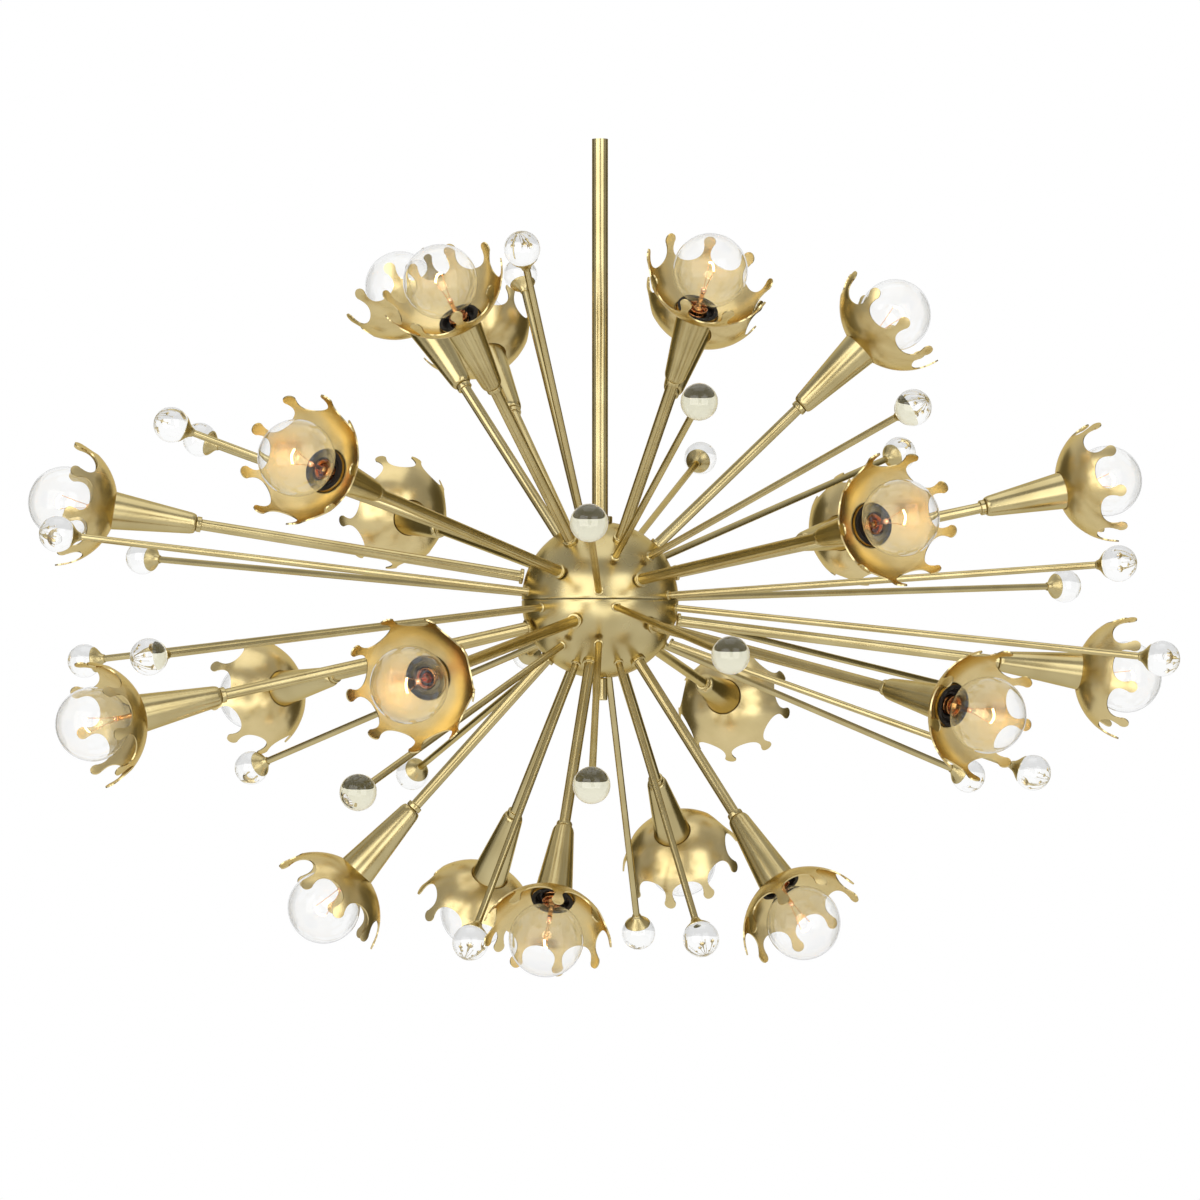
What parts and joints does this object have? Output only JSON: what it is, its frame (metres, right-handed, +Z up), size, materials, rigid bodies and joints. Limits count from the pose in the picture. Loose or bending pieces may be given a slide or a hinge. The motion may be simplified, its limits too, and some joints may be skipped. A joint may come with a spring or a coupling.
{
  "type": "sputnik chandelier",
  "caption": "Ball chandelier: a round brass hub on a downrod, with straight arms that end in globe bulbs set in toothed crowns, or in clear glass balls.",
  "frame": {"origin": "centre of the top end of the downrod, where the chandelier is held", "axes": "+Z up along the downrod, -Y towards the side that the picture shows, +X to its right"},
  "size_m": [0.8287, 0.8529, 0.603],
  "materials": {
    "satin_brass": "satin",
    "crown_brass": "satin",
    "steel": "zinc plated",
    "black_plastic": "matte",
    "bulb_glass": "clear",
    "clear_glass": "clear, polished"
  },
  "bodies": {
    "chandelier": {"bottom_ball_caps": "satin_brass", "bottom_ball_rods": "satin_brass", "bottom_balls": "clear_glass", "bottom_lamp_bulbs": "bulb_glass", "bottom_lamp_cones": "satin_brass", "bottom_lamp_crowns": "crown_brass", "bottom_lamp_holders": "black_plastic", "bottom_lamp_tubes": "satin_brass", "downrod": "satin_brass", "high_ball_caps": "satin_brass", "high_ball_rods": "satin_brass", "high_balls": "clear_glass", "hub_lock_nuts": "steel", "hub_pipe": "steel", "low_ball_caps": "satin_brass", "low_ball_rods": "satin_brass", "low_balls": "clear_glass", "lower_ball_caps": "satin_brass", "lower_ball_rods": "satin_brass", "lower_balls": "clear_glass", "lower_hub_shell": "satin_brass", "lower_lamp_bulbs": "bulb_glass", "lower_lamp_cones": "satin_brass", "lower_lamp_crowns": "crown_brass", "lower_lamp_holders": "black_plastic", "lower_lamp_tubes": "satin_brass", "stem_collar": "satin_brass", "top_ball_caps": "satin_brass", "top_ball_rods": "satin_brass", "top_balls": "clear_glass", "top_lamp_bulbs": "bulb_glass", "top_lamp_cones": "satin_brass", "top_lamp_crowns": "crown_brass", "top_lamp_holders": "black_plastic", "top_lamp_tubes": "satin_brass", "upper_ball_caps": "satin_brass", "upper_ball_rods": "satin_brass", "upper_balls": "clear_glass", "upper_hub_shell": "satin_brass", "upper_lamp_bulbs": "bulb_glass", "upper_lamp_cones": "satin_brass", "upper_lamp_crowns": "crown_brass", "upper_lamp_holders": "black_plastic", "upper_lamp_tubes": "satin_brass"},
    "finial": {"bottom_finial": "satin_brass"}
  },
  "joints": [
    {"name": "finial_turn", "type": "hinge", "parent": "chandelier", "child": "finial", "pos_m": [0, 0, -0.4], "axis": [0, 0, 1], "continuous": true}
  ]
}
